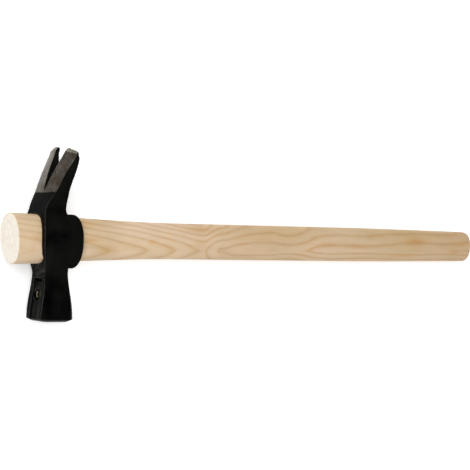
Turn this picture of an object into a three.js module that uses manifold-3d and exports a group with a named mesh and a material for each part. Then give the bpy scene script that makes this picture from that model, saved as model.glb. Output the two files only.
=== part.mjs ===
// A carpenter's hammer, lying on its side: a forged head on an ash handle that slips through its eye.
// Lengths are in millimetres. +X runs along the handle to the grip, +Y from the eye to the claws, +Z up.
// The pieces are drawn about the handle's axis, with X = 0 at the front rim of the eye. The group then
// puts the origin on the lower cheek, under the middle of the eye.
import * as THREE from "three";
import { mergeVertices } from "three/addons/utils/BufferGeometryUtils.js";
import Module from "manifold-3d";

const wasm = await Module();
wasm.setup();

// Driving dimensions.
const fitGap = 0.3; // between pieces that are pressed or wedged together
const cutOverrun = 3; // how far a cutting tool runs past the faces that it cuts

// The handle's section is a flattened oval: with a power of 2 it would be an ellipse. A share is a place
// along the handle, counted from its thick end. Each end is rounded over, down to a flat face that has
// this faceShare of the section's height and width.
const handle = {
  length: 423.5,
  overhang: 19, // of the thick end, in front of the eye
  endSlant: 1.3, // how far the saw cut at the thick end leans, at its upper edge
  end: { height: 33.7, width: 22.4, power: 2.2, rounding: 0.9, faceShare: 0.93 },
  eye: { height: 32.8, width: 21.6, power: 2.3, share: 0.0449 },
  neck: { height: 28.3, width: 20.4, power: 2.5, share: 0.1514 },
  gripStart: { height: 25, width: 19.4, power: 2.6, share: 0.3158 },
  gripEnd: { height: 24.8, width: 19.4, power: 2.6, share: 0.6914 },
  butt: { height: 22.5, width: 17.7, power: 2.4, rounding: 3, faceShare: 0.72 },
};

// The head is drawn through sections, each at a distance above or below the handle's axis. A section's
// setback is that of its front, behind the front rim of the eye.

// The eye swells to its full width at the axis, where each cheek has a narrow flat, and ends in an oval
// collar towards the grip. Its walls are counted from the opening that the handle passes through. The
// collar starts inside the eye, smaller by its rootInset, and is squarer where it leaves the eye's back.
const eye = {
  length: 31.6, // from the front rim to the collar's end
  edge: 0.9,
  wallDepth: 22, // how far back the poll and the claws reach at the eye
  cheekWall: 3,
  cheekReach: 2.6, // of the flats, above and below the axis
  upper: { distance: 11, width: 24.8, setback: 0.5 },
  lower: { distance: 11, width: 23.2, setback: 2.4 },
  collar: {
    wall: 3.1,
    cheekWall: 3.2,
    drop: 1.4,
    rounding: 1,
    power: 2.2,
    rootPower: 2.7,
    rootDepth: 4,
    rootInset: 2,
  },
  mouth: { gap: 1.6, depth: 2 }, // the front rim is eased, which leaves this gap round the handle
};

// The poll runs down from the eye, through a neck, and flares to the striking face. Its corners are flat
// chamfers, measured along its depth and its width, which turn into arcs near the eye.
const poll = {
  root: { distance: 18.5, width: 17.6, setback: 4.5, depth: 19, cornerDepth: 0.7, cornerWidth: 0.8 },
  neck: { distance: 23, width: 15.9, setback: 5.2, depth: 18.9, cornerDepth: 0.8, cornerWidth: 0.8 },
  throat: { distance: 29.3, width: 17.9, setback: 5.1, depth: 19.6, cornerDepth: 1.1, cornerWidth: 1 },
  belly: { distance: 45, width: 23.8, setback: 3.3, depth: 24.4, cornerDepth: 3.2, cornerWidth: 3.2 },
  face: { distance: 54.8, width: 25.4, setback: 2.6, depth: 26.4, cornerDepth: 4.5, cornerWidth: 4.5 },
  neckRoundnessShare: 0.5, // of the corners at the neck: 0 is a flat chamfer, 1 an arc
  rimBevel: 4, // the low bevel round the striking face
  rimHeight: 1.7,
  flatCorner: 2.2, // chamfers of the flat inside the bevel
};

// The claws run up from the eye and lean back towards the grip. Their front is crowned: the middle stands
// in front of the outer edges, which the setbacks are measured to. Their back is hollowed to match.
const claw = {
  root: { distance: 21, width: 20.4, setback: 2.2, depth: 16.4, crown: 0, hollow: 0 },
  knee: { distance: 31.3, width: 24.2, setback: 7.6, depth: 11.4, crown: 1.5, hollow: 0 },
  mid: { distance: 44.5, width: 27.5, setback: 13.8, depth: 8.2, crown: 2.7, hollow: 1 },
  bevel: { distance: 56.6, width: 31, setback: 20.4, depth: 2.9, crown: 3.6, hollow: 3.2 },
  tip: { distance: 62.4, width: 31.2, setback: 22.9, depth: 0.9, crown: 3.5, hollow: 3.2 },
  tipSlope: 4.1, // how much lower the outer corner of a tip is than the inner one
  tipCorner: 2.6,
  edge: 0.8, // rounding of the claws' long edges
  tipEdge: 0.25,
};

// The slot between the claws opens from a point to its full width at the tips, faster at first. Its walls
// splay towards the claws' back, at the tips by this share of the depth.
const slot = { rootDistance: 32.3, tipHalfWidth: 5.7, openingPower: 0.9, splayShare: 0.3 };

// The nail rest is a channel down the front of the poll, with a pocket for the nail's head.
const rest = {
  shoulderDistance: 26.1,
  width: 9.6, // between its rims
  floorWidth: 8.1,
  depth: 1.1,
  pocketWidth: 8,
  pocketHeight: 2.4,
  pocketDepth: 3.4,
};

// The magnet sits in a sleeve, in a blind bore through the floor of the nail rest.
const magnet = {
  distance: 37.1, // from the handle's axis
  radius: 2.6,
  length: 5,
  recess: 2.9, // of its face, behind the poll's front
  sleeveWall: 0.6,
  sleeveFloor: 1,
  sleeveLip: 0.4, // how far the sleeve stands out past the magnet
};

const mesh = {
  sectionPoints: 40, // round an oval
  cornerPoints: 4, // round each corner of the head's sections, less one
  handleRings: 30,
  ringSpacing: 1.7, // along the head
  roundingRings: 6,
  eyeRings: 10,
  boreSides: 32,
  crownPoints: 6, // across the claws' front and back
  weldDistance: 0.0001, // vertices closer than this are one
};

const half = (size) => size / 2;

// Monotone cubic curve through a table of rows that all have the same keys, read at any value of y.
function curveThrough(rows) {
  const ys = rows.map((row) => row.y);
  const keys = Object.keys(rows[0]).filter((key) => key !== "y");
  const slopes = {};
  for (const key of keys) {
    const rise = ys.slice(1).map((y, i) => (rows[i + 1][key] - rows[i][key]) / (y - ys[i]));
    slopes[key] = ys.map((_, i) => {
      if (i === 0) return rise[0];
      if (i === ys.length - 1) return rise[i - 1];
      const product = rise[i - 1] * rise[i];
      return product <= 0 ? 0 : (2 * product) / (rise[i - 1] + rise[i]);
    });
  }
  return (y) => {
    let i = 0;
    while (i < ys.length - 2 && y > ys[i + 1]) i += 1;
    const span = ys[i + 1] - ys[i];
    const t = THREE.MathUtils.clamp((y - ys[i]) / span, 0, 1);
    const row = {};
    for (const key of keys) {
      const from = rows[i][key];
      const to = rows[i + 1][key];
      row[key] =
        from * (1 + 2 * t) * (1 - t) ** 2 +
        to * t ** 2 * (3 - 2 * t) +
        span * (slopes[key][i] * t * (1 - t) ** 2 - slopes[key][i + 1] * t ** 2 * (1 - t));
    }
    return row;
  };
}

// A closed solid through rings of points, each end closed by a fan about the ring's middle.
function loft(rings) {
  const count = rings[0].length;
  const points = rings.flat();
  const faces = [];
  for (let ring = 0; ring < rings.length - 1; ring += 1) {
    for (let i = 0; i < count; i += 1) {
      const a = ring * count + i;
      const b = ring * count + ((i + 1) % count);
      faces.push(a, b, b + count, a, b + count, a + count);
    }
  }
  for (const [ring, turned] of [
    [0, true],
    [rings.length - 1, false],
  ]) {
    const middle = rings[ring].reduce((sum, p) => sum.add(p), new THREE.Vector3()).divideScalar(count);
    points.push(middle);
    for (let i = 0; i < count; i += 1) {
      const a = ring * count + i;
      const b = ring * count + ((i + 1) % count);
      faces.push(...(turned ? [b, a] : [a, b]), points.length - 1);
    }
  }
  const geometry = new THREE.BufferGeometry().setFromPoints(points).setIndex(faces);
  return solid(geometry);
}

// A closed three.js geometry as a manifold solid, facing out.
function solid(geometry) {
  const bare = geometry.clone();
  bare.deleteAttribute("normal");
  bare.deleteAttribute("uv");
  const merged = mergeVertices(bare, mesh.weldDistance);
  const vertProperties = merged.attributes.position.array;
  const triVerts = new Uint32Array(merged.index.array);
  const made = new wasm.Manifold(new wasm.Mesh({ numProp: 3, vertProperties, triVerts }));
  if (made.volume() > 0) return made;
  const turned = triVerts.slice().reverse();
  return new wasm.Manifold(new wasm.Mesh({ numProp: 3, vertProperties, triVerts: turned }));
}

function namedMesh(name, made, material) {
  const { vertProperties, triVerts } = made.getMesh();
  const geometry = new THREE.BufferGeometry();
  geometry.setAttribute("position", new THREE.BufferAttribute(vertProperties, 3));
  geometry.setIndex(new THREE.BufferAttribute(triVerts, 1));
  const piece = new THREE.Mesh(geometry, material);
  piece.name = name;
  return piece;
}

// A flattened oval ring across the X axis.
function ovalRing(x, halfHeight, halfWidth, power) {
  const bend = (value) => Math.sign(value) * Math.abs(value) ** (2 / power);
  return Array.from({ length: mesh.sectionPoints }, (_, i) => {
    const angle = (2 * Math.PI * i) / mesh.sectionPoints;
    return new THREE.Vector3(x, halfHeight * bend(Math.sin(angle)), halfWidth * bend(Math.cos(angle)));
  });
}

// The handle's half height and half width at any place, with y standing for the distance along X.
const handleRow = (part, share) => ({
  y: handle.length * share - handle.overhang,
  height: half(part.height),
  width: half(part.width),
  power: part.power,
});
const handleSize = curveThrough([
  handleRow(handle.end, 0),
  handleRow(handle.eye, handle.eye.share),
  handleRow(handle.neck, handle.neck.share),
  handleRow(handle.gripStart, handle.gripStart.share),
  handleRow(handle.gripEnd, handle.gripEnd.share),
  handleRow(handle.butt, 1),
]);

function handleRing(x, { gap = 0, share = 1 } = {}) {
  const size = handleSize(x);
  return ovalRing(x, size.height * share + gap, size.width * share + gap, size.power);
}

// Rings that round an end over, from the end face to the full section.
function roundedEnd(endX, inward, { rounding, faceShare }) {
  return Array.from({ length: mesh.roundingRings + 1 }, (_, i) => {
    const angle = (half(Math.PI) * i) / mesh.roundingRings;
    const share = faceShare + (1 - faceShare) * Math.sin(angle);
    return handleRing(endX + inward * rounding * (1 - Math.cos(angle)), { share });
  });
}

// The saw cut leans: the end's upper edge is further out than its lower edge.
function slanted(ring) {
  const reach = handle.endSlant / half(handle.end.height);
  return ring.map((p) => new THREE.Vector3(p.x - reach * p.y, p.y, p.z));
}

function makeHandle() {
  const front = -handle.overhang;
  const back = handle.length - handle.overhang;
  const from = front + handle.end.rounding;
  const to = back - handle.butt.rounding;
  const shank = Array.from({ length: mesh.handleRings }, (_, i) =>
    handleRing(THREE.MathUtils.lerp(from, to, (i + 1) / (mesh.handleRings + 1))),
  );
  return loft([
    ...roundedEnd(front, 1, handle.end).map(slanted),
    ...shank,
    ...roundedEnd(back, -1, handle.butt).reverse(),
  ]);
}

// A section of the head across Y: a rectangle with a crowned front and a hollow back, whose corners are
// flat chamfers at roundness 0, arcs at 1.
function headRing(y, { front, back, width, cornerDepth, cornerWidth, roundness, crown, hollow }) {
  const reach = width - cornerWidth;
  const corner = (x, z, quarter) =>
    Array.from({ length: mesh.cornerPoints + 1 }, (_, i) => {
      const t = i / mesh.cornerPoints;
      const angle = half(Math.PI) * (quarter + t);
      const from = new THREE.Vector2(1, 0).rotateAround(new THREE.Vector2(), half(Math.PI) * quarter);
      const to = new THREE.Vector2(1, 0).rotateAround(new THREE.Vector2(), half(Math.PI) * (quarter + 1));
      const arc = new THREE.Vector2(Math.cos(angle), Math.sin(angle));
      const out = from.lerp(to, t).lerp(arc, roundness);
      return new THREE.Vector3(x + out.x * cornerDepth, y, z + out.y * cornerWidth);
    });
  const bowed = (x, bow) =>
    Array.from({ length: mesh.crownPoints }, (_, i) => {
      const across = 1 - (2 * (i + 1)) / (mesh.crownPoints + 1);
      return new THREE.Vector3(x - bow * (1 - across ** 2), y, reach * across);
    });
  return [
    ...corner(back - cornerDepth, reach, 0),
    ...corner(front + cornerDepth, reach, 1),
    ...bowed(front, crown),
    ...corner(front + cornerDepth, -reach, 2),
    ...corner(back - cornerDepth, -reach, 3),
    ...bowed(back, hollow).reverse(),
  ];
}

// One row of the head's outline, from a section's own sizes.
const headRow = (y, part, roundness, cornerDepth, cornerWidth = cornerDepth) => ({
  y,
  front: part.setback,
  back: part.setback + part.depth,
  width: half(part.width),
  crown: part.crown ?? 0,
  hollow: part.hollow ?? 0,
  cornerDepth,
  cornerWidth,
  roundness,
});
const eyeRow = (y, { width, setback }) =>
  headRow(y, { width, setback, depth: eye.wallDepth - setback }, 1, eye.edge);
const pollRow = (part, roundness) =>
  headRow(-part.distance, part, roundness, part.cornerDepth, part.cornerWidth);
const clawRow = (part, edge = claw.edge) => headRow(part.distance, part, 1, edge);

const cheek = { width: 2 * (handleSize(0).width + fitGap + eye.cheekWall), setback: 0 };

// The head's outline from the bevelled rim of the striking face to the claws' tips.
const rimRow = { ...pollRow(poll.face, 0), y: poll.rimHeight - poll.face.distance };
const tipRow = clawRow(claw.tip, claw.tipEdge);
const headSize = curveThrough([
  rimRow,
  pollRow(poll.belly, 0),
  pollRow(poll.throat, 0),
  pollRow(poll.neck, poll.neckRoundnessShare),
  pollRow(poll.root, 1),
  eyeRow(-eye.lower.distance, eye.lower),
  eyeRow(-eye.cheekReach, cheek),
  eyeRow(eye.cheekReach, cheek),
  eyeRow(eye.upper.distance, eye.upper),
  clawRow(claw.root),
  clawRow(claw.knee),
  clawRow(claw.mid),
  clawRow(claw.bevel),
  tipRow,
]);

// The poll, the front of the eye and the claws, in one forging.
function makeBody() {
  const face = {
    ...rimRow,
    front: rimRow.front + poll.rimBevel,
    back: rimRow.back - poll.rimBevel,
    width: rimRow.width - poll.rimBevel,
    cornerDepth: poll.flatCorner,
    cornerWidth: poll.flatCorner,
  };
  const count = Math.round((tipRow.y - rimRow.y) / mesh.ringSpacing);
  const rings = Array.from({ length: count + 1 }, (_, i) => {
    const y = THREE.MathUtils.lerp(rimRow.y, tipRow.y, i / count);
    return headRing(y, headSize(y));
  });
  return loft([headRing(-poll.face.distance, face), ...rings]);
}

function makeCollar() {
  const { wall, cheekWall, drop, rounding, power, rootPower, rootDepth, rootInset } = eye.collar;
  const opening = handleSize(eye.length);
  const halfHeight = opening.height + fitGap + wall;
  const halfWidth = opening.width + fitGap + cheekWall;
  const ring = (x, inset, ovalPower) => {
    const oval = ovalRing(x, halfHeight - inset, halfWidth - inset, ovalPower);
    return oval.map((p) => new THREE.Vector3(p.x, p.y - drop, p.z));
  };
  const steps = Array.from({ length: mesh.roundingRings }, (_, i) => (i + 1) / mesh.roundingRings);
  const root = ring(rootDepth, rootInset, rootPower);
  const growing = steps.map((t) =>
    ring(THREE.MathUtils.lerp(rootDepth, eye.wallDepth, t), rootInset * (1 - t) ** 2, rootPower),
  );
  const sleeve = steps.map((t) =>
    ring(
      THREE.MathUtils.lerp(eye.wallDepth, eye.length - rounding, t),
      0,
      THREE.MathUtils.lerp(rootPower, power, t),
    ),
  );
  const rounded = steps.map((t) => {
    const angle = half(Math.PI) * t;
    return ring(
      eye.length - rounding * (1 - Math.sin(angle)),
      rounding * (1 - Math.cos(angle)),
      power,
    );
  });
  return loft([root, ...growing, ...sleeve, ...rounded]);
}

// The eye is the handle's own taper, opened by the fit gap and flared at its mouth.
function eyeCutter() {
  const { gap, depth } = eye.mouth;
  const flare = (gap - fitGap) / depth;
  const [from, to] = [depth, eye.length + cutOverrun];
  const taper = Array.from({ length: mesh.eyeRings + 1 }, (_, i) =>
    handleRing(THREE.MathUtils.lerp(from, to, i / mesh.eyeRings), { gap: fitGap }),
  );
  return loft([handleRing(-cutOverrun, { gap: gap + flare * cutOverrun }), ...taper]);
}

// A flat outline of (z, y) points, pushed through the head along X.
function prismAlongX(outline, fromX, toX) {
  const geometry = new THREE.ExtrudeGeometry(outline, {
    depth: toX - fromX,
    bevelEnabled: false,
    curveSegments: mesh.roundingRings,
  });
  geometry.rotateY(half(Math.PI));
  geometry.translate(fromX, 0, 0);
  return solid(geometry);
}

// A section of the slot across Y, splayed from the claws' front to their back.
function slotRing(y) {
  const along = (y - slot.rootDistance) / (claw.tip.distance - slot.rootDistance);
  const halfWidth = fitGap + (slot.tipHalfWidth - fitGap) * along ** slot.openingPower;
  const { front, back, crown } = headSize(y);
  const face = front - crown;
  const widthAt = (x) => halfWidth * (1 + (slot.splayShare * (x - face)) / slot.tipHalfWidth);
  const [from, to] = [face - cutOverrun, back + cutOverrun];
  return [
    new THREE.Vector3(from, y, widthAt(from)),
    new THREE.Vector3(from, y, -widthAt(from)),
    new THREE.Vector3(to, y, -widthAt(to)),
    new THREE.Vector3(to, y, widthAt(to)),
  ];
}

function slotCutter() {
  const from = slot.rootDistance;
  const to = claw.tip.distance + cutOverrun;
  const count = Math.round((to - from) / mesh.ringSpacing);
  return loft(
    Array.from({ length: count + 1 }, (_, i) => slotRing(THREE.MathUtils.lerp(from, to, i / count))),
  );
}

// Trims the claws' tips to a low roof with rounded outer corners.
function tipCutter() {
  const wall = half(claw.tip.width);
  const eaves = claw.tip.distance - claw.tipSlope;
  const cornerTop = eaves + (claw.tipSlope * claw.tipCorner) / wall;
  const cornerFoot = eaves - claw.tipCorner;
  const outline = new THREE.Shape();
  outline.moveTo(-wall - cutOverrun, cornerFoot);
  outline.lineTo(-wall, cornerFoot);
  outline.quadraticCurveTo(-wall, eaves, claw.tipCorner - wall, cornerTop);
  outline.lineTo(0, claw.tip.distance);
  outline.lineTo(wall - claw.tipCorner, cornerTop);
  outline.quadraticCurveTo(wall, eaves, wall, cornerFoot);
  outline.lineTo(wall + cutOverrun, cornerFoot);
  outline.lineTo(wall + cutOverrun, claw.tip.distance + cutOverrun);
  outline.lineTo(-wall - cutOverrun, claw.tip.distance + cutOverrun);
  outline.closePath();
  return prismAlongX(outline, -cutOverrun, claw.tip.setback + claw.tip.depth + cutOverrun);
}

// X of the poll's front, at a distance below the handle's axis.
const pollFront = (distance) => headSize(-distance).front;

// A section of the nail rest across Y, widening from its floor through its rims.
function restRing(distance) {
  const front = pollFront(Math.min(distance, poll.face.distance));
  const widening = half(rest.width - rest.floorWidth) / rest.depth;
  const mouth = half(rest.width) + widening * cutOverrun;
  return [
    new THREE.Vector3(front - cutOverrun, -distance, mouth),
    new THREE.Vector3(front - cutOverrun, -distance, -mouth),
    new THREE.Vector3(front + rest.depth, -distance, -half(rest.floorWidth)),
    new THREE.Vector3(front + rest.depth, -distance, half(rest.floorWidth)),
  ];
}

function nailRestCutter() {
  const from = poll.face.distance + cutOverrun;
  const to = rest.shoulderDistance;
  const count = Math.round((from - to) / mesh.ringSpacing);
  return loft(
    Array.from({ length: count + 1 }, (_, i) => restRing(THREE.MathUtils.lerp(from, to, i / count))),
  );
}

function nailHeadPocket() {
  const bottom = pollFront(rest.shoulderDistance) + rest.pocketDepth;
  const box = new THREE.BoxGeometry(bottom + cutOverrun, rest.pocketHeight, rest.pocketWidth);
  box.translate(half(bottom - cutOverrun), -rest.shoulderDistance - half(rest.pocketHeight), 0);
  return solid(box);
}

const magnetFace = pollFront(magnet.distance) + magnet.recess;
const sleeveRadius = magnet.radius + fitGap + magnet.sleeveWall;
const sleeveBottom = magnetFace + magnet.length + fitGap + magnet.sleeveFloor;

// A round solid about the magnet's own axis, from one X to another.
function magnetRound(radius, fromX, toX) {
  const geometry = new THREE.CylinderGeometry(radius, radius, toX - fromX, mesh.boreSides);
  geometry.rotateZ(half(Math.PI));
  geometry.translate(half(fromX + toX), -magnet.distance, 0);
  return solid(geometry);
}

function makeHead() {
  const cutters = [
    eyeCutter(),
    slotCutter(),
    tipCutter(),
    nailRestCutter(),
    nailHeadPocket(),
    magnetRound(sleeveRadius + fitGap, -cutOverrun, sleeveBottom + fitGap),
  ];
  return cutters.reduce((head, cutter) => head.subtract(cutter), makeBody().add(makeCollar()));
}

function makeMagnetSleeve() {
  const hollow = magnetRound(magnet.radius + fitGap, -cutOverrun, sleeveBottom - magnet.sleeveFloor);
  return magnetRound(sleeveRadius, magnetFace - magnet.sleeveLip, sleeveBottom).subtract(hollow);
}

const makeMagnet = () => magnetRound(magnet.radius, magnetFace, magnetFace + magnet.length);

const materials = {
  blackPaint: new THREE.MeshStandardMaterial({ color: 0x161615, roughness: 0.5, metalness: 0.1 }),
  ash: new THREE.MeshStandardMaterial({ color: 0xdcc3a0, roughness: 0.65, metalness: 0 }),
  brass: new THREE.MeshStandardMaterial({ color: 0xb59a55, roughness: 0.35, metalness: 1 }),
  nickel: new THREE.MeshStandardMaterial({ color: 0x8f8c86, roughness: 0.4, metalness: 1 }),
};

const hammer = new THREE.Group();
hammer.add(
  namedMesh("head", makeHead(), materials.blackPaint),
  namedMesh("handle", makeHandle(), materials.ash),
  namedMesh("magnet_sleeve", makeMagnetSleeve(), materials.brass),
  namedMesh("magnet", makeMagnet(), materials.nickel),
);
hammer.position.set(-half(eye.length), 0, half(cheek.width));

export default hammer;
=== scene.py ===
"""A carpenter's hammer that lies on its side on a pale floor, seen from above its head.

Sizes are in millimetres unless a name ends in _M. The frame's origin is on the lower cheek, under the
middle of the eye: +X runs along the handle to the grip, +Y to the claws and +Z up. Places along X are
counted from the eye's front rim, and those along Z from the handle's axis, unless a comment says more.
"""
import math

import bpy
import numpy as np
from mathutils import Matrix, Vector, noise


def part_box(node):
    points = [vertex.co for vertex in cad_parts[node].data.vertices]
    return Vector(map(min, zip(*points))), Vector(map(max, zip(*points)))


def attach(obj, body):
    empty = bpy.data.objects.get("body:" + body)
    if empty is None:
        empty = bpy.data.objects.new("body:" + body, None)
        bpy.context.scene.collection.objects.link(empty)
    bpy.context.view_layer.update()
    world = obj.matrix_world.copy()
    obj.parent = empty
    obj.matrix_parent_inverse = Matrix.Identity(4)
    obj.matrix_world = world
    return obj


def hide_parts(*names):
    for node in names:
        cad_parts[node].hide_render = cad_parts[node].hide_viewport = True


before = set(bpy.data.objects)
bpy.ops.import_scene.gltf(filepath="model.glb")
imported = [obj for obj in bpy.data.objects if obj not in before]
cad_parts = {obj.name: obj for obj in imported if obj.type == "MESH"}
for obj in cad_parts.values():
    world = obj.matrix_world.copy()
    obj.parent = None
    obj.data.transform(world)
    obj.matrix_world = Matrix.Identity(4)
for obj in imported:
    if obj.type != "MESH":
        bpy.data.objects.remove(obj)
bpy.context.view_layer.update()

MM = 0.001


def box_mm(node_name):
    """A node's lowest and highest corners in millimetres."""
    return [[value / MM for value in corner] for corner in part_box(node_name)]


# The eye's front rim and the handle's axis, in the frame, and the height of the claws' tips along Y.
(EYE_FRONT, _, HEAD_FOOT), (_, CLAW_TOP, HEAD_TOP) = box_mm("head")
AXIS_Z = (HEAD_FOOT + HEAD_TOP) / 2
EYE_LENGTH = 31.6


# Meshes and numbers.


def mesh_object(name, points_mm, faces, smooth=True):
    """A mesh object from points in millimetres, in the frame."""
    mesh = bpy.data.meshes.new(name)
    mesh.from_pydata([tuple(point) for point in np.asarray(points_mm) * MM], [], faces)
    mesh.validate()
    mesh.polygons.foreach_set("use_smooth", [smooth] * len(mesh.polygons))
    piece = bpy.data.objects.new(name, mesh)
    bpy.context.scene.collection.objects.link(piece)
    return piece


def quads_between(first, second, sides):
    """Faces between two rings of points, each given by the number of its first point."""
    return [
        (first + i, first + (i + 1) % sides, second + (i + 1) % sides, second + i)
        for i in range(sides)
    ]


def set_attribute(piece, name, values):
    """Store one number for each vertex."""
    stored = piece.data.attributes.new(name, "FLOAT", "POINT")
    stored.data.foreach_set("value", np.asarray(values, np.float32))


def vertex_values(piece, name):
    """Three numbers for each vertex of a mesh: its place or its normal."""
    values = np.zeros(len(piece.data.vertices) * 3, np.float32)
    piece.data.vertices.foreach_get(name, values)
    return values.reshape(-1, 3).astype(float)


def points_of(piece):
    """A mesh's vertices in millimetres."""
    return vertex_values(piece, "co") / MM


def normals_of(piece):
    """A mesh's vertex normals."""
    return vertex_values(piece, "normal")


def set_points(piece, points):
    """Put a mesh's vertices at these millimetres."""
    piece.data.vertices.foreach_set("co", (points * MM).astype(np.float32).ravel())
    piece.data.update()


def places_of(points):
    """Each point's place from the eye's front rim, its Y and its height above the handle's axis."""
    return points[:, 0] - EYE_FRONT, points[:, 1], points[:, 2] - AXIS_Z


def level_direction(x, y):
    """A direction of length 1 that lies level."""
    return np.array((x, y, 0.0)) / math.hypot(x, y)


def smoothstep(low, high, value):
    """0 at low and 1 at high, eased at both. Low may be the greater one."""
    t = np.clip((value - low) / (high - low), 0, 1)
    return t * t * (3 - 2 * t)


def band(value, start, full, last, end):
    """1 from full to last, eased to 0 at start and at end."""
    return smoothstep(start, full, value) * smoothstep(end, last, value)


def curve_through(rows):
    """A monotone cubic through rows of numbers, read at any value of their first one."""
    table = np.array(rows, float)
    x, values = table[:, 0], table[:, 1:]
    rise = np.diff(values, axis=0) / np.diff(x)[:, None]
    slopes = np.zeros_like(values)
    slopes[0], slopes[-1] = rise[0], rise[-1]
    product = rise[:-1] * rise[1:]
    total = rise[:-1] + rise[1:]
    safe = np.where(product > 0, total, 1)
    slopes[1:-1] = np.where(product > 0, 2 * product / safe, 0)

    def read(at):
        at = np.asarray(at, float)
        i = np.clip(np.searchsorted(x, at) - 1, 0, len(x) - 2)
        span = x[i + 1] - x[i]
        t = np.clip((at - x[i]) / span, 0, 1)[..., None]
        between = values[i] * (1 + 2 * t) * (1 - t) ** 2 + values[i + 1] * t ** 2 * (3 - 2 * t)
        bend = slopes[i] * t * (1 - t) ** 2 - slopes[i + 1] * t ** 2 * (1 - t)
        return between + span[..., None] * bend

    return read


# How fast the layers of a noise get weaker and finer.
NOISE_FADING = 1.0
NOISE_FINENESS = 2.0


def layered_noise(points, scale, layers, shift):
    """Smooth noise about zero at each point, with its coordinates scaled and then shifted."""
    places = points * np.asarray(scale) + shift
    return np.array([
        noise.fractal(Vector(place), NOISE_FADING, NOISE_FINENESS, layers, noise_basis="PERLIN_ORIGINAL")
        for place in places
    ])


# The handle's shape.

# Its sections, from the thick end to the butt: place, half height along Y, half width along Z, and the
# power of its flattened oval.
HANDLE_FRONT = -19.0
HANDLE_BACK = 404.5
HANDLE_ROWS = (
    (HANDLE_FRONT, 16.85, 11.2, 2.2),
    (0.0, 16.4, 10.8, 2.3),
    (45.1, 14.15, 10.2, 2.5),
    (114.7, 12.5, 9.7, 2.6),
    (273.8, 12.4, 9.7, 2.6),
    (HANDLE_BACK, 11.25, 8.85, 2.4),
)
handle_size = curve_through(HANDLE_ROWS)

# The saw cut at the thick end leans by this much over half the height. Each end's edge is rounded, and
# its flat face has a share of the section's size.
END_SLANT = 1.3
END_ROUNDING = 0.9
END_FACE_SHARE = 0.93
BUTT_ROUNDING = 3.0
BUTT_FACE_SHARE = 0.72

HANDLE_SIDES = 128
HANDLE_RING_STEP = 1.0
END_EDGE_RINGS = 8
END_FACE_RINGS = 12


def oval(x, share=1.0):
    """A section of the handle at a place, scaled by a share."""
    height, width, power = handle_size(x)
    angle = np.linspace(0, 2 * math.pi, HANDLE_SIDES, endpoint=False)
    y = np.sign(np.sin(angle)) * np.abs(np.sin(angle)) ** (2 / power) * height * share
    z = np.sign(np.cos(angle)) * np.abs(np.cos(angle)) ** (2 / power) * width * share
    return np.stack([np.full_like(y, x), y, z], axis=1)


def slanted(ring, lean=1.0):
    """A ring that leans with the saw cut: its upper edge is further out than its lower edge."""
    out = ring.copy()
    out[:, 0] -= lean * END_SLANT / HANDLE_ROWS[0][1] * out[:, 1]
    return out


def end_rings(end, rounding, face_share):
    """Rings from the middle of an end's face over its rounded edge. The rounding goes along X."""
    rings = [oval(end, face_share * i / END_FACE_RINGS) for i in range(1, END_FACE_RINGS)]
    for i in range(END_EDGE_RINGS + 1):
        angle = math.pi / 2 * i / END_EDGE_RINGS
        share = face_share + (1 - face_share) * math.sin(angle)
        rings.append(oval(end + rounding * (1 - math.cos(angle)), share))
    return rings


def side_rings():
    """Rings along the handle, between its two rounded edges. The slant fades out towards the eye."""
    start = HANDLE_FRONT + END_ROUNDING
    stop = HANDLE_BACK - BUTT_ROUNDING
    count = round((stop - start) / HANDLE_RING_STEP)
    places = [start + (stop - start) * i / count for i in range(1, count)]
    return [slanted(oval(x), max(0.0, x / start)) for x in places]


def make_handle():
    """The handle: rings from end to end, and a point in the middle of each end's face."""
    front = [slanted(ring) for ring in end_rings(HANDLE_FRONT, END_ROUNDING, END_FACE_SHARE)]
    butt = end_rings(HANDLE_BACK, -BUTT_ROUNDING, BUTT_FACE_SHARE)
    rings = front + side_rings() + butt[::-1]
    points = np.concatenate(rings + [np.array([[HANDLE_FRONT, 0, 0], [HANDLE_BACK, 0, 0]])])
    sides = HANDLE_SIDES
    faces = []
    for ring in range(len(rings) - 1):
        faces += quads_between((ring + 1) * sides, ring * sides, sides)
    last = (len(rings) - 1) * sides
    middle = last + sides
    for i in range(sides):
        faces.append((i, (i + 1) % sides, middle))
        faces.append((last + (i + 1) % sides, last + i, middle + 1))
    return mesh_object("ash_handle", points + np.array((EYE_FRONT, 0, AXIS_Z)), faces)


# The handle's grain.

# Its growth rings are numbered by a field that is a whole number at each ring's dark edge. On the side
# that faces up, the field is read along a heart line, and it grows away from that line: with a power near
# the head, and evenly near the butt. It also grows into the wood.
HEART_Y = -7.4
HEART_CLIMB = 0.0113
HEART_DRIFT = curve_through((
    (-40, -2.0), (26, 0.0), (58, 1.0), (90, 2.0), (113, 3.0), (134, 4.0), (138, 4.05), (143, 3.55),
    (152, 2.85), (158, 2.75), (166, 2.4), (185, 2.1), (200, 2.06), (213, 2.3), (221, 2.27), (232, 2.0),
    (243, 1.47), (262, 1.25), (292, 1.4), (322, 1.17), (348, 1.08), (371, 1.2), (385, 1.12),
    (398, 0.93), (420, 0.7),
))
RING_POWER = 1.5
RING_RATE = curve_through(((-40, 0.042), (47, 0.044), (78, 0.047), (97, 0.052), (420, 0.052)))
RING_RATE_DOWN = 0.041
EVEN_RATE = 0.14
EVEN_RATE_DOWN = 0.27
EVEN_FROM = 140
EVEN_TO = 200
RINGS_INTO_WOOD = 0.27

# Two noises bend the rings, and one bends them on the end faces. Each has its scale along X, Y and Z, its
# layers and its shift.
RING_WANDER = 0.1
RING_WANDER_NOISE = ((0.03, 0.12, 0.12), 3, 3.7)
RING_WOBBLE = 0.025
RING_WOBBLE_NOISE = ((0.12, 0.5, 0.5), 2, 8.1)
END_RING_WANDER = 0.3
END_RING_NOISE = ((0.0, 0.13, 0.2), 3, 21.7)

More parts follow.
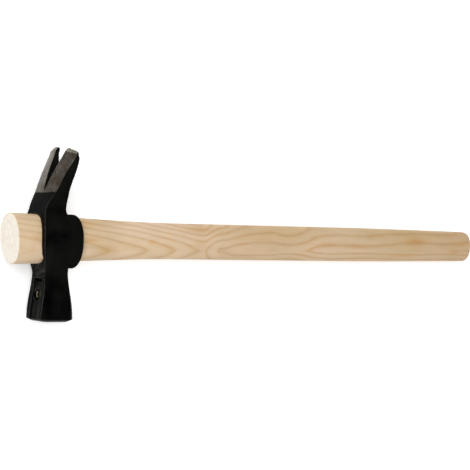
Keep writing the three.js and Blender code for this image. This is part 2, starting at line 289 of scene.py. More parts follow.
# On the end faces the rings are arcs: how many there are in a millimetre, their tilt and their bow.
END_RING_RATE = 0.34
END_RING_TILT = 0.3
END_RING_BOW = 0.006


def ring_field(points):
    """The growth-ring number at each point."""
    x, y, z = places_of(points)
    height, width, power = handle_size(np.clip(x, HANDLE_FRONT, HANDLE_BACK)).T
    face = width * np.clip(1 - np.abs(y / height) ** power, 0, 1) ** (1 / power)
    away = y - (HEART_Y + HEART_CLIMB * x)
    bowed = np.where(away > 0, RING_RATE(x)[:, 0], RING_RATE_DOWN) * np.abs(away) ** RING_POWER
    even = np.where(away > 0, EVEN_RATE, EVEN_RATE_DOWN) * np.abs(away)
    share = smoothstep(EVEN_FROM, EVEN_TO, x)
    field = HEART_DRIFT(x)[:, 0] + (1 - share) * bowed + share * even + RINGS_INTO_WOOD * (face - z)
    field += RING_WANDER * layered_noise(points, *RING_WANDER_NOISE)
    return field + RING_WOBBLE * layered_noise(points, *RING_WOBBLE_NOISE)


def end_ring_field(points):
    """The growth-ring number on the end faces, where the rings are seen as slanted arcs."""
    _, y, z = places_of(points)
    arcs = END_RING_RATE * (z + END_RING_TILT * y - END_RING_BOW * y ** 2)
    return arcs + END_RING_WANDER * layered_noise(points, *END_RING_NOISE)


# Warm streaks on the upper side: place, height along Y, half length and half height of each, and its
# strength.
WARM_STREAKS = (
    (134, 8.6, 13, 2.4, 0.6), (254, 0.0, 9, 1.5, 0.75), (286, -1.2, 11, 1.4, 0.7),
    (277, 0.0, 40, 1.2, 0.3), (343, 3.9, 10, 3.2, 0.9), (330, -7.4, 15, 1.4, 0.6),
    (392, 1.6, 7, 1.2, 0.5), (386, -3.6, 6, 1.3, 0.6), (30, -4.5, 9, 1.2, 0.5),
    (190, 3.0, 16, 1.2, 0.35), (38, 11.0, 12, 2.2, 0.5), (33, 10.0, 4, 3.0, 0.5),
    (39, 0.3, 6, 1.5, 1.0), (53, -6.3, 8, 3.0, 0.5), (92, -0.3, 4, 1.3, 0.75),
    (134, -1.0, 7, 4.0, 0.3), (-5, 1.5, 4, 2.5, 0.45), (-7, -6.5, 3, 4, 0.35),
)


def warm_field(points):
    """How warm the wood is at each point, from 0 to 1."""
    x, y, z = places_of(points)
    total = np.zeros(len(points))
    for at_x, at_y, half_length, half_height, strength in WARM_STREAKS:
        reach = ((x - at_x) / half_length) ** 2 + ((y - at_y) / half_height) ** 2
        total = np.maximum(total, strength * np.exp(-reach))
    return total * (z > 0)


# How much the rings fade on the upper side of the thick end, the share of that which is left high up on
# it, and where the fading grows along Y and along X.
RING_FADING = 0.6
LEAST_FADING = 0.4
FADING_Y = (3, -5)
FADING_X = (2, -1)


def ring_fading(points):
    """How much the rings fade at each point, from 0 to 1."""
    x, y, z = places_of(points)
    low = LEAST_FADING + (1 - LEAST_FADING) * smoothstep(*FADING_Y, y)
    return RING_FADING * low * smoothstep(*FADING_X, x) * (z > 0)


# How far in front of the eye the upper side of the wood is darkened by painted shade, the shadow of the
# gap at the eye's rim, at each height along Y, and how far below. The distance past the shade's line is
# kept up to a span.
GAP_SHADE_REACH = curve_through((
    (-17, -4.0), (-12.5, -3.2), (-9, -1.0), (-2, 0.5), (4, 0.65), (11, 0.25), (14, -0.3), (17, -0.6),
))
GAP_SHADE_REACH_BELOW = -1
GAP_SHADE_SPAN = 4

# The shade on the wood where it comes out of the eye, and how fast it fades.
EYE_SHADE = 0.5
EYE_SHADE_LENGTH = 2.4


def past_gap_shade_line(points):
    """How far each point is past the line where the painted shade before the eye begins."""
    x, y, z = places_of(points)
    reach = np.where(z > 0, GAP_SHADE_REACH(y)[:, 0], GAP_SHADE_REACH_BELOW)
    return np.where(x < EYE_LENGTH / 2, np.clip(x + reach, -GAP_SHADE_SPAN, GAP_SHADE_SPAN), -GAP_SHADE_SPAN)


def shade_behind_eye(points):
    """How much the wood is darkened where it comes out of the eye, from 0 to 1."""
    past_eye = places_of(points)[0] - EYE_LENGTH
    fading = np.exp(-np.maximum(past_eye, 0) / EYE_SHADE_LENGTH)
    return EYE_SHADE * fading * (past_eye > -EYE_LENGTH / 2)


# How much a surface looks out of the thick end where the end grain begins, and where it is full.
END_GRAIN_LOOK = (0.55, 0.8)


def mark_wood(piece):
    """Store what the wood's material reads at each vertex."""
    points = points_of(piece)
    set_attribute(piece, "growth_rings", ring_field(points))
    set_attribute(piece, "end_rings", end_ring_field(points))
    set_attribute(piece, "ring_fading", ring_fading(points))
    set_attribute(piece, "warm_streaks", warm_field(points))
    set_attribute(piece, "gap_shade_depth", past_gap_shade_line(points))
    set_attribute(piece, "eye_shade", shade_behind_eye(points))
    set_attribute(piece, "end_grain", smoothstep(*END_GRAIN_LOOK, -normals_of(piece)[:, 0]))


# What all materials are made with.


def new_material(name):
    """A material with its node tree and its shader."""
    material = bpy.data.materials.new(name)
    material.use_nodes = True
    return material, material.node_tree, material.node_tree.nodes["Principled BSDF"]


def feed(tree, socket, value):
    """Link an output to a socket, or set the socket to a value. A colour may come without its alpha."""
    if isinstance(value, bpy.types.NodeSocket):
        tree.links.new(value, socket)
    elif socket.type == "RGBA" and len(value) == 3:
        socket.default_value = (*value, 1)
    else:
        socket.default_value = value


def node(tree, kind, inputs=None, **settings):
    """A shader node, with its inputs by name or number and its settings."""
    made = tree.nodes.new(kind)
    for name, value in settings.items():
        setattr(made, name, value)
    for key, value in (inputs or {}).items():
        feed(tree, made.inputs[key], value)
    return made


def math_node(tree, operation, *values):
    """The result of a sum on numbers and outputs."""
    return node(tree, "ShaderNodeMath", dict(enumerate(values)), operation=operation).outputs[0]


def times(tree, first, second):
    """One number or output times another."""
    return math_node(tree, "MULTIPLY", first, second)


def ramp(tree, factor, stops):
    """A colour ramp with (place, colour or grey) stops."""
    made = node(tree, "ShaderNodeValToRGB", {"Fac": factor})
    elements = made.color_ramp.elements
    while len(elements) < len(stops):
        elements.new(0.5)
    for element, (place, colour) in zip(elements, stops):
        element.position = place
        grey = (colour,) * 3 if isinstance(colour, float) else colour
        element.color = (*grey, 1)
    return made.outputs["Color"]


def mix_colour(tree, share, first, second, blend="MIX"):
    """Two colours mixed, by the share of the second one. The node's inputs 6 and 7 are its colours."""
    inputs = {0: share, 6: first, 7: second}
    return node(tree, "ShaderNodeMix", inputs, data_type="RGBA", blend_type=blend).outputs[2]


def shaded(tree, colour, shade):
    """A colour times a shade."""
    return mix_colour(tree, 1.0, colour, shade, "MULTIPLY")


def attribute(tree, name):
    """The number that is stored at each vertex under a name."""
    return node(tree, "ShaderNodeAttribute", attribute_name=name).outputs["Fac"]


def place_in(tree):
    """The place in the frame, in metres."""
    return node(tree, "ShaderNodeTexCoord").outputs["Object"]


def noise_node(tree, waves, layers, roughness, stretch):
    """Noise with so many waves in a metre, drawn out along X, Y or Z by a stretch below 1."""
    mapped = node(tree, "ShaderNodeMapping", {"Vector": place_in(tree), "Scale": stretch})
    settings = {"Vector": mapped.outputs[0], "Scale": waves, "Detail": layers, "Roughness": roughness}
    return node(tree, "ShaderNodeTexNoise", settings).outputs["Fac"]


def add_relief(tree, shader, height, strength, depth):
    """Fine relief, which only bends the light."""
    inputs = {"Height": height, "Strength": strength, "Distance": depth * MM}
    feed(tree, shader.inputs["Normal"], node(tree, "ShaderNodeBump", inputs).outputs[0])


def srgb(red, green, blue):
    """A colour as written in a picture, from 0 to 255, as linear light."""
    def linear(value):
        share = value / 255
        return share / 12.92 if share <= 0.04045 else ((share + 0.055) / 1.055) ** 2.4
    return linear(red), linear(green), linear(blue)


EVEN = (1, 1, 1)


# The wood.

# Its noises: waves in a metre, layers, their roughness and the stretch.
PATCHES = (45, 2.0, 0.5, (0.25, 1, 1))
TINTS = (75, 3.0, 0.5, (0.5, 1, 1))
CLOUDS = (150, 3.0, 0.55, (0.35, 1, 1))
FIBRE = (900, 3.0, 0.6, (0.03, 1, 1))
PORES = (2100, 2.0, 0.5, (0.06, 1, 1))
SPECKLE = (420, 3.0, 0.6, EVEN)

# What is read from each noise: a share, a shade or a roughness at two of its values.
PATCH_SHARE = [(0.34, 0.0), (0.66, 1.0)]
TINT_SHARE = [(0.48, 0.0), (0.68, 0.75)]
CLOUD_SHADE = [(0.3, 0.96), (0.7, 1.03)]
FIBRE_SHADE = [(0.25, 0.96), (0.75, 1.03)]
FIBRE_ROUGHNESS = [(0.3, 0.58), (0.7, 0.7)]
PORE_SHARE = [(0.6, 0.0), (0.7, 1.0)]
SPECKLE_SHARE = [(0.35, 0.0), (0.65, 1.0)]

# Its colours. Where there are two, the wood changes between them from patch to patch.
PALE_WOOD = (srgb(224, 199, 174), srgb(216, 190, 154))
LINE_WOOD = (srgb(200, 164, 122), srgb(192, 158, 113))
TINTED_WOOD = srgb(206, 156, 106)
WARM_WOOD = srgb(206, 158, 104)
PORE_BROWN = srgb(150, 112, 74)
END_WOOD = (srgb(243, 238, 229), srgb(234, 226, 211))
END_LINE_WOOD = srgb(222, 206, 182)
# A painted shadow for the gap where the wood enters the eye.
GAP_SHADE_BROWN = srgb(30, 20, 9)

# How dark and porous the wood is through one ring, from its inner edge to its outer one.
RING_PROFILE = [
    (0.0, 0.42), (0.06, 0.16), (0.3, 0.03), (0.55, 0.07),
    (0.74, 0.28), (0.88, 0.64), (0.96, 0.74), (1.0, 0.42),
]

# The wood is a little darker near the head, and darker and warmer towards the grip: painted shade where
# less light falls on it. The rings show less on the grip. Both are given at shares of the way from the
# frame's origin to the grip's end.
GRIP_END_M = 0.39
HANDLE_SHADE_ALONG = [
    (0.06, (0.94, 0.94, 0.895)), (0.1, (0.91, 0.905, 0.86)), (0.14, (1.0, 1.0, 1.0)),
    (0.22, (0.99, 0.99, 0.975)), (0.3, (0.93, 0.92, 0.845)), (0.42, (0.905, 0.868, 0.795)),
    (0.6, (0.925, 0.9, 0.825)), (0.7, (0.91, 0.895, 0.825)), (0.84, (0.875, 0.84, 0.73)),
    (1.0, (0.865, 0.8, 0.7)),
]
RING_STRENGTH = [(0.26, 0.88), (0.38, 0.8)]

# How strong the warm streaks and the end faces' rings are, and how many pores are open between the rings'
# porous parts and, more, in them.
WARM_STRENGTH = 0.75
END_LINE_STRENGTH = 0.5
PORES_BETWEEN_RINGS = 0.04
PORES_IN_RINGS = 0.4

# Where the painted shade's edge begins and ends, on a scale with its line at 0.5.
GAP_SHADE_EDGE = [(0.465, 0.0), (0.52, 1.0)]

WOOD_SHEEN = 0.25
WOOD_RELIEF = 0.25
WOOD_RELIEF_DEPTH = 0.2


def porous_rings(tree, along):
    """How porous the wood is: a wave in each ring, weaker on the grip and where the rings fade."""
    porous = ramp(tree, math_node(tree, "FRACT", attribute(tree, "growth_rings")), RING_PROFILE)
    porous = times(tree, porous, ramp(tree, along, RING_STRENGTH))
    return times(tree, porous, math_node(tree, "SUBTRACT", 1.0, attribute(tree, "ring_fading")))


def side_wood(tree, along, porous, fibre):
    """The sanded sides: pale wood, its rings with warmer stretches, clouds, warm streaks and painted shade
    along the handle.
    """
    patches = ramp(tree, noise_node(tree, *PATCHES), PATCH_SHARE)
    pale = mix_colour(tree, patches, *PALE_WOOD)
    line = mix_colour(tree, patches, *LINE_WOOD)
    wood = mix_colour(tree, porous, pale, line)
    tints = ramp(tree, noise_node(tree, *TINTS), TINT_SHARE)
    wood = mix_colour(tree, times(tree, porous, tints), wood, TINTED_WOOD)
    wood = shaded(tree, wood, ramp(tree, noise_node(tree, *CLOUDS), CLOUD_SHADE))
    warm = times(tree, attribute(tree, "warm_streaks"), WARM_STRENGTH)
    wood = mix_colour(tree, warm, wood, WARM_WOOD)
    wood = shaded(tree, wood, ramp(tree, fibre, FIBRE_SHADE))
    return shaded(tree, wood, ramp(tree, along, HANDLE_SHADE_ALONG))


def end_wood(tree):
    """The sawn end grain: pale and speckled, with the rings as arcs."""
    pale = mix_colour(tree, ramp(tree, noise_node(tree, *SPECKLE), SPECKLE_SHARE), *END_WOOD)
    porous = ramp(tree, math_node(tree, "FRACT", attribute(tree, "end_rings")), RING_PROFILE)
    return mix_colour(tree, times(tree, porous, END_LINE_STRENGTH), pale, END_LINE_WOOD)


def with_painted_shade(tree, wood):
    """The wood with painted shade, in the gap before the eye and where it comes out behind it."""
    depth = math_node(tree, "MULTIPLY_ADD", attribute(tree, "gap_shade_depth"), 0.5 / GAP_SHADE_SPAN, 0.5)
    dark = math_node(tree, "MAXIMUM", ramp(tree, depth, GAP_SHADE_EDGE), attribute(tree, "eye_shade"))
    return mix_colour(tree, dark, wood, GAP_SHADE_BROWN)


def ash_material():
    """Sanded ash."""
    material, tree, shader = new_material("ash_wood")
    along = node(tree, "ShaderNodeSeparateXYZ", {"Vector": place_in(tree)}).outputs["X"]
    along = times(tree, along, 1 / GRIP_END_M)
    fibre = noise_node(tree, *FIBRE)
    porous = porous_rings(tree, along)
    pores = math_node(tree, "MULTIPLY_ADD", porous, PORES_IN_RINGS, PORES_BETWEEN_RINGS)
    pores = times(tree, ramp(tree, noise_node(tree, *PORES), PORE_SHARE), pores)
    wood = mix_colour(tree, pores, side_wood(tree, along, porous, fibre), PORE_BROWN)
    wood = mix_colour(tree, attribute(tree, "end_grain"), wood, end_wood(tree))
    feed(tree, shader.inputs["Base Color"], with_painted_shade(tree, wood))
    feed(tree, shader.inputs["Roughness"], ramp(tree, fibre, FIBRE_ROUGHNESS))
    feed(tree, shader.inputs["Specular IOR Level"], WOOD_SHEEN)
    height = math_node(tree, "MULTIPLY_ADD", pores, -1.0, fibre)
    add_relief(tree, shader, height, WOOD_RELIEF, WOOD_RELIEF_DEPTH)
    return material


# The paint and the ground steel of the head.

# Their noises: waves in a metre, layers, their roughness and the stretch.
SKIN = (420, 4.0, 0.55, EVEN)
BLOTCHES = (90, 3.0, 0.5, EVEN)
FILE_STREAKS = (900, 1.0, 0.5, (1, 0.05, 1))
DENTS = (520, 2.0, 0.5, EVEN)
BRUSHING = (700, 3.0, 0.6, (1, 0.12, 1))
GRIT = (620, 3.0, 0.65, (1, 0.45, 1))
STEEL_STAINS = (260, 4.0, 0.6, (1, 0.5, 1))

# What is read from each noise: a share, a shade or a roughness at two of its values.
BLOTCH_SHARE = [(0.34, 0.0), (0.66, 1.0)]
BLOTCH_ROUGHNESS = [(0.3, 0.46), (0.7, 0.6)]
STREAK_SHARE = [(0.54, 0.0), (0.66, 1.0)]
DENT_SHARE = [(0.48, 0.0), (0.56, 1.0)]
WEAR_SHARE = [(0.35, 0.4), (0.65, 1.0)]
BRUSHING_SHADE = [(0.3, 0.86), (0.7, 1.12)]
BRUSHING_ROUGHNESS = [(0.3, 0.34), (0.7, 0.5)]
GRIT_SHADE = [(0.34, 0.8), (0.66, 1.2)]
STEEL_STAIN_SHARE = [(0.36, 0.0), (0.64, 1.0)]

# Their colours. The paint's are linear light. Where there are two, a noise changes between them.
BLACK_PAINT = ((0.0004, 0.0004, 0.0004), (0.0042, 0.0042, 0.0038))
# The paint lightened by painted light, on the cheeks and the collar.
LIT_PAINT = (0.0075, 0.0073, 0.0064)
MARKED_PAINT = (0.024, 0.0232, 0.0215)
WORN_PAINT = (0.038, 0.037, 0.0355)
DULL_STEEL = (srgb(54, 48, 39), srgb(79, 73, 66))
# A lit copy of the ground steel, for its painted light and highlights.
LIT_STEEL = (srgb(103, 95, 85), srgb(125, 120, 112))

MATT_ROUGHNESS = (1.0, 1.0, 1.0)
PAINT_SHEEN = 0.035
PAINT_RELIEF = 0.5
PAINT_RELIEF_DEPTH = 0.5


def paint_colour(tree, skin, blotches):
    """Black paint, with painted light, file streaks, dents and worn edges where the attributes say so."""
    paint = mix_colour(tree, ramp(tree, blotches, BLOTCH_SHARE), *BLACK_PAINT)
    paint = mix_colour(tree, attribute(tree, "painted_light"), paint, LIT_PAINT)
    streaks = ramp(tree, noise_node(tree, *FILE_STREAKS), STREAK_SHARE)
    streaks = times(tree, attribute(tree, "filed"), streaks)
    dents = times(tree, attribute(tree, "dented"), ramp(tree, noise_node(tree, *DENTS), DENT_SHARE))
    paint = mix_colour(tree, math_node(tree, "MAXIMUM", streaks, dents), paint, MARKED_PAINT)
    wear = times(tree, attribute(tree, "worn_edge"), ramp(tree, skin, WEAR_SHARE))
    return mix_colour(tree, wear, paint, WORN_PAINT)


def steel_colour(tree, brushing):
    """Ground steel, stained, brushed and gritty, and mixed towards its lit copy, for painted light and
    highlights, where the attribute says so.
    """
    stains = ramp(tree, noise_node(tree, *STEEL_STAINS), STEEL_STAIN_SHARE)
    dull = mix_colour(tree, stains, *DULL_STEEL)
    bright = mix_colour(tree, stains, *LIT_STEEL)
    steel = mix_colour(tree, attribute(tree, "steel_light"), dull, bright)
    steel = shaded(tree, steel, ramp(tree, brushing, BRUSHING_SHADE))
    return shaded(tree, steel, ramp(tree, noise_node(tree, *GRIT), GRIT_SHADE))


def paint_material():
    """Satin black paint, and ground steel where the attribute bare_steel is 1."""
    material, tree, shader = new_material("black_paint")
    bare = attribute(tree, "bare_steel")
    skin = noise_node(tree, *SKIN)
    blotches = noise_node(tree, *BLOTCHES)
    brushing = noise_node(tree, *BRUSHING)
    colour = mix_colour(tree, bare, paint_colour(tree, skin, blotches), steel_colour(tree, brushing))
    paint_rough = ramp(tree, blotches, BLOTCH_ROUGHNESS)
    paint_rough = mix_colour(tree, attribute(tree, "matt"), paint_rough, MATT_ROUGHNESS)
    rough = mix_colour(tree, bare, paint_rough, ramp(tree, brushing, BRUSHING_ROUGHNESS))
    feed(tree, shader.inputs["Base Color"], colour)
    feed(tree, shader.inputs["Metallic"], bare)
    feed(tree, shader.inputs["Roughness"], rough)
    feed(tree, shader.inputs["Specular IOR Level"], PAINT_SHEEN)
    height = mix_colour(tree, bare, skin, brushing)
    add_relief(tree, shader, height, PAINT_RELIEF, PAINT_RELIEF_DEPTH)
    return material


# The metals of the magnet and its sleeve.

SCUFFS = (1400, 3.0, 0.6, EVEN)
SCUFF_ENDS = (0.3, 0.7)
ROUGHNESS_SPREAD = 0.08
METAL_RELIEF = 0.2
METAL_RELIEF_DEPTH = 0.1

PLATING = (srgb(42, 40, 28), srgb(60, 58, 42))
PLATING_ROUGHNESS = 0.42
BRASS = (srgb(32, 30, 21), srgb(46, 44, 31))
BRASS_ROUGHNESS = 0.34
# The lighter brass of the lip's painted highlight.
LIP_HIGHLIGHT_BRASS = srgb(204, 198, 164)


def turned_metal(name, shades, roughness, painted_highlight=None):
    """A scuffed metal of two shades, with a third for a painted highlight where the attribute says so."""
    material, tree, shader = new_material(name)
    scuffs = noise_node(tree, *SCUFFS)
    metal = mix_colour(tree, scuffs, *shades)
    if painted_highlight:
        metal = mix_colour(tree, attribute(tree, "painted_highlight"), metal, painted_highlight)
    smooth_at, rough_at = SCUFF_ENDS
    spread = [(smooth_at, roughness - ROUGHNESS_SPREAD), (rough_at, roughness + ROUGHNESS_SPREAD)]
    feed(tree, shader.inputs["Base Color"], metal)
    feed(tree, shader.inputs["Metallic"], 1.0)
    feed(tree, shader.inputs["Roughness"], ramp(tree, scuffs, spread))
    add_relief(tree, shader, scuffs, METAL_RELIEF, METAL_RELIEF_DEPTH)
    return material


def magnet_material():
    """The magnet's dull plating."""
    return turned_metal("magnet_plating", PLATING, PLATING_ROUGHNESS)


def sleeve_material():
    """The sleeve's brass, dark but for its painted highlight."""
    return turned_metal("brass_sleeve", BRASS, BRASS_ROUGHNESS, LIP_HIGHLIGHT_BRASS)


# The head's shape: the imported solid, re-meshed finely and smoothed as a forging is.

HEAD_VOXEL = 0.34

# Smoothing pulls a point by this share of the way to its neighbours' middle, and then pushes it back.
# Relaxing only pulls it. The edges are rounded over in a few rounds.
SMOOTHING_PULL = 0.55
SMOOTHING_PUSH = 0.57
RELAXING_PULL = 0.5
EDGE_ROUNDS = 6


def remeshed(source, name, voxel):
    """A fine even copy of a node's mesh."""
    piece = bpy.data.objects.new(name, source.data)
    bpy.context.scene.collection.objects.link(piece)
    modifier = piece.modifiers.new("remesh", "REMESH")
    modifier.mode = "VOXEL"
    modifier.voxel_size = voxel * MM
    modifier.adaptivity = 0
    graph = bpy.context.evaluated_depsgraph_get()
    fine = bpy.data.meshes.new_from_object(piece.evaluated_get(graph), depsgraph=graph)
    fine.polygons.foreach_set("use_smooth", [True] * len(fine.polygons))
    piece.modifiers.clear()
    piece.data = fine
    return piece


def edges_of(piece):
    """The two vertex numbers of each edge."""
    values = np.zeros(len(piece.data.edges) * 2, np.int32)
    piece.data.edges.foreach_get("vertices", values)
    return values.reshape(-1, 2)


def pulled(points, edges, share):
    """Points that are moved by a share of the way to their neighbours' middle."""
    first, second = edges.T
    total = np.zeros_like(points)
    for axis in range(points.shape[1]):
        total[:, axis] = np.bincount(first, points[second, axis], len(points))
        total[:, axis] += np.bincount(second, points[first, axis], len(points))
    middle = total / np.bincount(edges.ravel(), minlength=len(points))[:, None]
    return points + share * (middle - points)


def smoothed(points, edges, rounds):
    """Smooth points along their edges, without shrinking them much."""
    for _ in range(rounds):
        points = pulled(points, edges, SMOOTHING_PULL)
        points = pulled(points, edges, -SMOOTHING_PUSH)
    return points


def relaxed(points, edges, rounds, weight=1.0):
    """Plain smoothing by a weight, which rounds edges over and fills corners."""
    share = RELAXING_PULL * np.reshape(weight, (-1, 1))
    for _ in range(rounds):
        points = pulled(points, edges, share)
    return points


# The forging blends where the collar and the claws' root meet the eye's cheeks. Each band says where the
# blend begins, is full, begins to end, and ends.
CHEEK_FROM = (7, 9)
CHEEK_END_Y = (17, 13)
COLLAR_BAND = (6, 12, 26, 30)
COLLAR_ROUNDS = 60
ROOT_BAND = (17, 20, 24, 27)
ROOT_BAND_Y = (11, 14, 19, 22)
ROOT_ROUNDS = 40


def blended(points, edges):
    """Blend the collar, and then the claws' root, into the cheeks."""
    x, y, z = places_of(points)
    cheek = smoothstep(*CHEEK_FROM, np.abs(z)) * smoothstep(*CHEEK_END_Y, np.abs(y))
    points = relaxed(points, edges, COLLAR_ROUNDS, cheek * band(x, *COLLAR_BAND))
    root = band(points[:, 1], *ROOT_BAND_Y) * band(x, *ROOT_BAND)
    return relaxed(points, edges, ROOT_ROUNDS, root)


# The claws' tips. The slot takes up a share of their width. Their edge is highest at the slot and falls
# away from it on both sides, and the far tip's rounded corner is lifted.
CLAW_HALF_WIDTH = 15.6
SLOT_SHARE = 0.365
TIP_SLOPE = 4.1
TIP_APEX = CLAW_TOP + TIP_SLOPE * SLOT_SHARE
TIP_STRETCH = 0.9
TIP_STRETCH_LENGTH = 6
TIP_ROUNDS = 12
TIP_ROUNDS_FROM = (CLAW_TOP - 3.5, CLAW_TOP - 1)
FAR_TIP_LIFT = 1.1
FAR_TIP_BAND = (-16.5, -13, -10.5, -6)
FAR_TIP_DEPTH = (3, 0.5)

# The tips are fuller at the back, but for the near one's outer corner, which is cut back. The far one is
# fuller still by the slot. The corners' depth is counted down from the tips' edge.
BACK_LOOK = (0.1, 0.6)
TIP_FULLNESS = 0.85
TIP_FULLNESS_Y = (CLAW_TOP - 22, CLAW_TOP - 9)
NEAR_CORNER = (5, 11)
NEAR_CORNER_DEPTH = (4.5, 1)
NEAR_CORNER_CUT = 1.5
FAR_CORNER_BAND = (-12, -7, -3, -1)
FAR_CORNER_DEPTH = (4, 1)
FAR_TIP_FULLNESS = 0.8

# The tips' front is bevelled: the direction that the bevel looks in, its length, how far before its plane
# its brightness begins and is full, and how far down it is looked for.
TIP_BEVEL_LOOK = level_direction(-0.7, 0.71)
TIP_BEVEL_LENGTH = 1.3
TIP_BEVEL_EDGE = (-0.12, -0.02)
TIP_LENGTH = 9

# The claws' front: its place at the apex's height and at their sides, how much it leans back for each
# millimetre up, and how much it is crowned in the middle.
TIP_FRONT = 22.9
CLAW_LEAN = 0.43
CLAW_CROWN = 3.5


def tip_edge(z):
    """How high the tips' edge is, at each place across the claws."""
    return TIP_APEX - TIP_SLOPE * np.abs(z) / CLAW_HALF_WIDTH


def far_tip_lift(z):
    """How much the far tip's rounded corner is lifted, at each place across the claws."""
    return FAR_TIP_LIFT * band(z, *FAR_TIP_BAND)


def fuller_tips(points, back):
    """Thicken the tips at their back, and lift the far one's rounded corner."""
    _, y, z = places_of(points)
    depth = tip_edge(z) - y
    near_corner = smoothstep(*NEAR_CORNER, z) * smoothstep(*NEAR_CORNER_DEPTH, depth)
    far_corner = band(z, *FAR_CORNER_BAND) * smoothstep(*FAR_CORNER_DEPTH, depth)
    fuller = TIP_FULLNESS * smoothstep(*TIP_FULLNESS_Y, y) * (1 - NEAR_CORNER_CUT * near_corner)
    out = points.copy()
    out[:, 0] += back * (fuller + FAR_TIP_FULLNESS * far_corner)
    out[:, 1] += far_tip_lift(z) * smoothstep(*FAR_TIP_DEPTH, depth)
    return out


def past_tip_bevel(points):
    """How far each point is past the bevel's plane, at its own place across the claws."""
    x, y, z = places_of(points)
    start_y = tip_edge(z) + far_tip_lift(z) - TIP_BEVEL_LENGTH
    crown = CLAW_CROWN * (1 - (z / CLAW_HALF_WIDTH) ** 2)
    start_x = TIP_FRONT - CLAW_LEAN * (TIP_APEX - start_y) - crown
    return TIP_BEVEL_LOOK[0] * (x - start_x) + TIP_BEVEL_LOOK[1] * (y - start_y)


def bevelled_tips(points):
    """Press the tips' front flat where it stands past the bevel's plane."""
    past = np.where(points[:, 1] > CLAW_TOP - TIP_LENGTH, np.maximum(past_tip_bevel(points), 0), 0)
    return points - past[:, None] * TIP_BEVEL_LOOK


def shape_tips(piece, points, edges):
    """Stretch the tips, make them fuller, round them and bevel their front."""
    points[:, 1] += TIP_STRETCH * smoothstep(CLAW_TOP - TIP_STRETCH_LENGTH, CLAW_TOP, points[:, 1])
    set_points(piece, points)
    points = fuller_tips(points, smoothstep(*BACK_LOOK, normals_of(piece)[:, 0]))
    points = relaxed(points, edges, TIP_ROUNDS, smoothstep(*TIP_ROUNDS_FROM, points[:, 1]))
    return bevelled_tips(points)


# What the head's material reads.

# How much painted light lightens the paint on the surfaces that look up: at each height along Y, a share.
# The collar's other surfaces have a share of their own.
PAINTED_LIGHT_SHARE = curve_through((
    (-60, 0.0), (-40, 0.0), (-29, 0.15), (-22, 0.42), (-15, 0.6), (-8, 0.42), (-2, 0.04),
    (3, 0.06), (9, 0.42), (14, 0.4), (20, 0.12), (28, 0.2), (45, 0.3), (62, 0.3),
))
COLLAR_PAINTED_LIGHT = 0.3

# How much a surface looks to the front, up or sideways where it begins to count as such, and where it
# counts in full. A chamfer looks half to the front and half up.
FRONT_LOOK = (0.75, 0.9)
UP_LOOK = (0.6, 0.9)
SIDE_LOOK = (0.05, 0.4)
CHAMFER_LOOK = (0.6, 0.9)

# The places of the matt collar and chamfers, and of the filed and the dented front.
COLLAR_FROM = (6, 10)
COLLAR_END_Y = (26, 22)
CHAMFER_FROM_Y = (-24, -30)
CHAMFER_MATT = 0.7
FILED_FROM_Y = (-29, -34)
FILE_STRENGTH = 0.8
DENTED_BAND_Y = (-27.5, -26, -19, -16)

# The pocket for a nail's head, over the magnet.
POCKET_Y = -27.3
POCKET_HEIGHT = 2.4
POCKET_WIDTH = 8.0
POCKET_FROM = 6.0
POCKET_MARGIN = 0.3


def in_pocket(x, y, z):
    """Whether a place is in the pocket."""
    across = np.abs(z) < POCKET_WIDTH / 2 + POCKET_MARGIN
    upright = np.abs(y - POCKET_Y) < POCKET_HEIGHT / 2 + POCKET_MARGIN
    return across & upright & (x > POCKET_FROM)


def mark_paint(piece, points, normals):
    """Where the paint gets painted light, is streaked by the file, dented and matt."""
    x, y, z = places_of(points)
    pocket = in_pocket(x, y, z)
    front = smoothstep(*FRONT_LOOK, -normals[:, 0]) * ~pocket
    upward = smoothstep(*UP_LOOK, normals[:, 2])
    sideways = smoothstep(*SIDE_LOOK, np.abs(normals[:, 1]))
    slanting = smoothstep(*CHAMFER_LOOK, -2 * normals[:, 0] * normals[:, 2])
    collar = smoothstep(*COLLAR_FROM, x) * smoothstep(*COLLAR_END_Y, np.abs(y)) * sideways
    chamfer = slanting * smoothstep(*CHAMFER_FROM_Y, y)
    painted_light = PAINTED_LIGHT_SHARE(y)[:, 0] * upward + COLLAR_PAINTED_LIGHT * collar * (1 - upward)
    set_attribute(piece, "painted_light", np.clip(painted_light, 0, 1))
    set_attribute(piece, "filed", FILE_STRENGTH * front * smoothstep(*FILED_FROM_Y, y))
    set_attribute(piece, "dented", front * band(y, *DENTED_BAND_Y))
    set_attribute(piece, "matt", np.clip(collar + CHAMFER_MATT * chamfer + pocket, 0, 1))


# How sharp an edge is where it begins to be worn, and where it is worn in full, and how much it has to
# look to the front.
SHARP_EDGE = (0.02, 0.055)
WORN_LOOK = (0.6, 0.85)


def mark_worn_edges(piece, normals, inward):
    """Where the edges that stand out are worn, by how far rounding them over moved them in."""
    sharp = -np.sum(inward * normals, axis=1)
    worn = smoothstep(*SHARP_EDGE, sharp) * smoothstep(*WORN_LOOK, -normals[:, 0])
    set_attribute(piece, "worn_edge", worn)


# The claws' front is ground bare above a line across them, and as far round as it faces the grinding.
# Towards the tips it is ground further round. Along the line the edge is blurred and wanders.
GROUND_LOOK = level_direction(-0.88, 0.47)
GROUND_FACING = (0.5, 0.62)
GROUND_FROM = 31.05
GROUND_SLOPE = 0.055
GROUND_WANDER = 0.35
GROUND_EDGE = 0.25
OUTER_CLAW_Y = (44, 55)
OUTER_CLAW_FACING = 0.25

# The tips and the rim of the striking face are bare too.
TIP_LOOK = (0.45, 0.6)
TIP_FROM_Y = (55, 56)
BARE_RIM_Y = (-54.1, -54.4)

